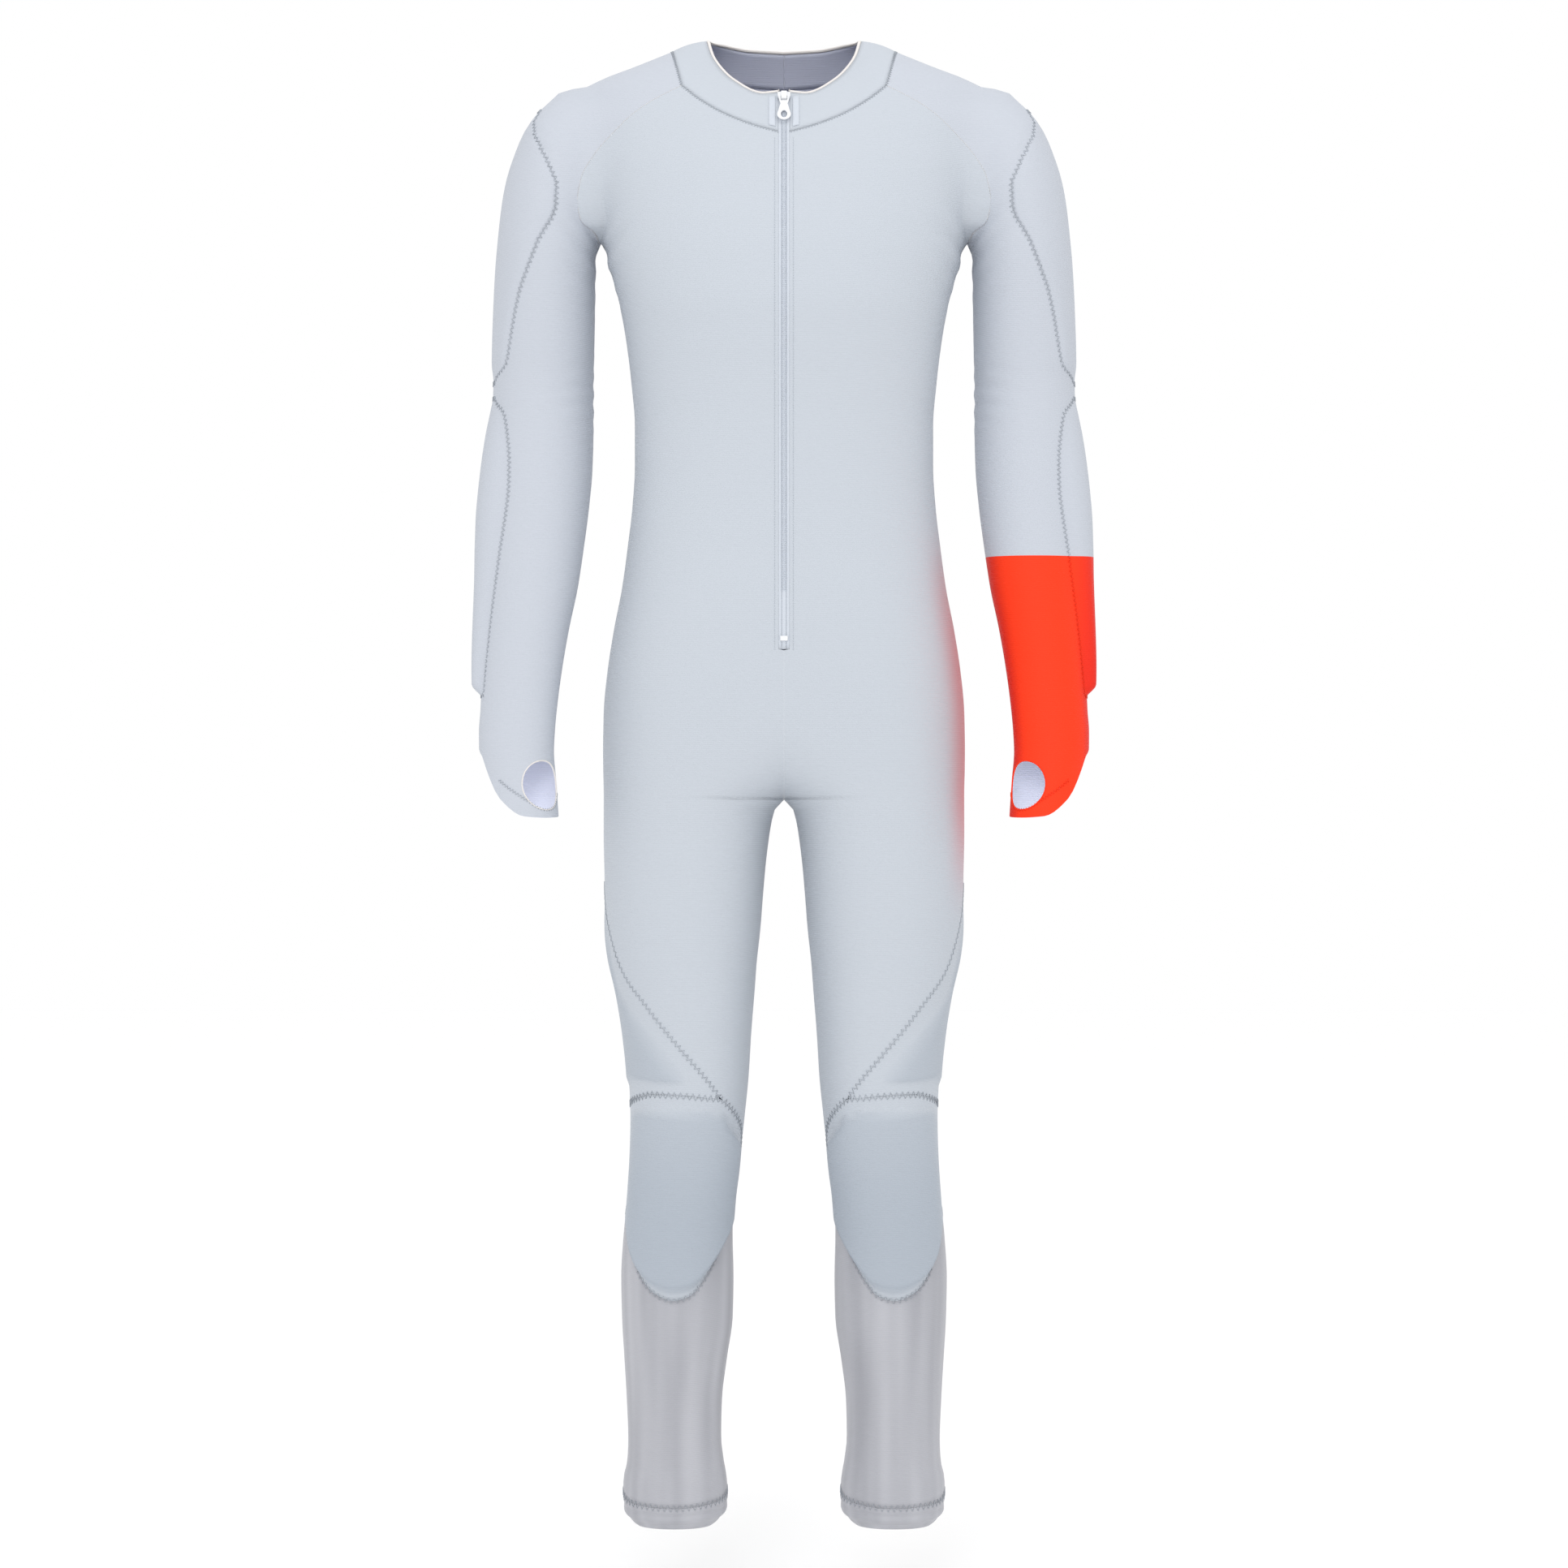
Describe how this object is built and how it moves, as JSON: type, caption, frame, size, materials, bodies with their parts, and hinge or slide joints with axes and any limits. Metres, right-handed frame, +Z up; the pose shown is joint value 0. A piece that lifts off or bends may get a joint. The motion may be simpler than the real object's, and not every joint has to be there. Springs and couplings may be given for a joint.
{
  "type": "ski race suit",
  "caption": "One-piece padded ski race suit in its worn shape: pale grey stretch cloth, raglan sleeves, thumb loops, knee and arm guards, front zip with a swinging pull tab.",
  "frame": {"origin": "middle of the neck opening, level with its two side points, where the suit is held by the shoulders", "axes": "+Z up along the body, front faces -Y, the suit's left side lies at +X"},
  "size_m": [0.6118, 0.252, 1.4662],
  "materials": {
    "suit_cloth": "fine ribbed stretch knit, one forearm orange",
    "shin_cloth": "smooth stretch knit with a soft sheen",
    "binding": "soft knitted binding",
    "zip_tape": "woven zip tape and coil",
    "zip_white": "white moulded plastic"
  },
  "bodies": {
    "suit": {"front_left": "suit_cloth", "front_right": "suit_cloth", "back_left": "suit_cloth", "back_right": "suit_cloth", "sleeve_left": "suit_cloth", "sleeve_right": "suit_cloth", "arm_guard_left": "suit_cloth", "arm_guard_right": "suit_cloth", "forearm_guard_left": "suit_cloth", "forearm_guard_right": "suit_cloth", "thumb_strap_left": "suit_cloth", "thumb_strap_right": "suit_cloth", "thigh_guard_left": "suit_cloth", "thigh_guard_right": "suit_cloth", "knee_guard_left": "suit_cloth", "knee_guard_right": "suit_cloth", "shin_left": "shin_cloth", "shin_right": "shin_cloth", "hem_left": "shin_cloth", "hem_right": "shin_cloth", "neck_binding": "binding", "collar_left": "suit_cloth", "collar_right": "suit_cloth", "zip_tape_left": "zip_tape", "zip_tape_right": "zip_tape", "zip_chain": "zip_tape", "zip_patch_left": "zip_tape", "zip_patch_right": "zip_tape", "zip_slider": "zip_white"},
    "pull_tab": {"zip_pull": "zip_white"}
  },
  "joints": [
    {"name": "pull_tab_swing", "type": "hinge", "parent": "suit", "child": "pull_tab", "pos_m": [0, -0.0719, -0.06562], "axis": [-1, 0, 0], "range_deg": [0, 150]}
  ]
}
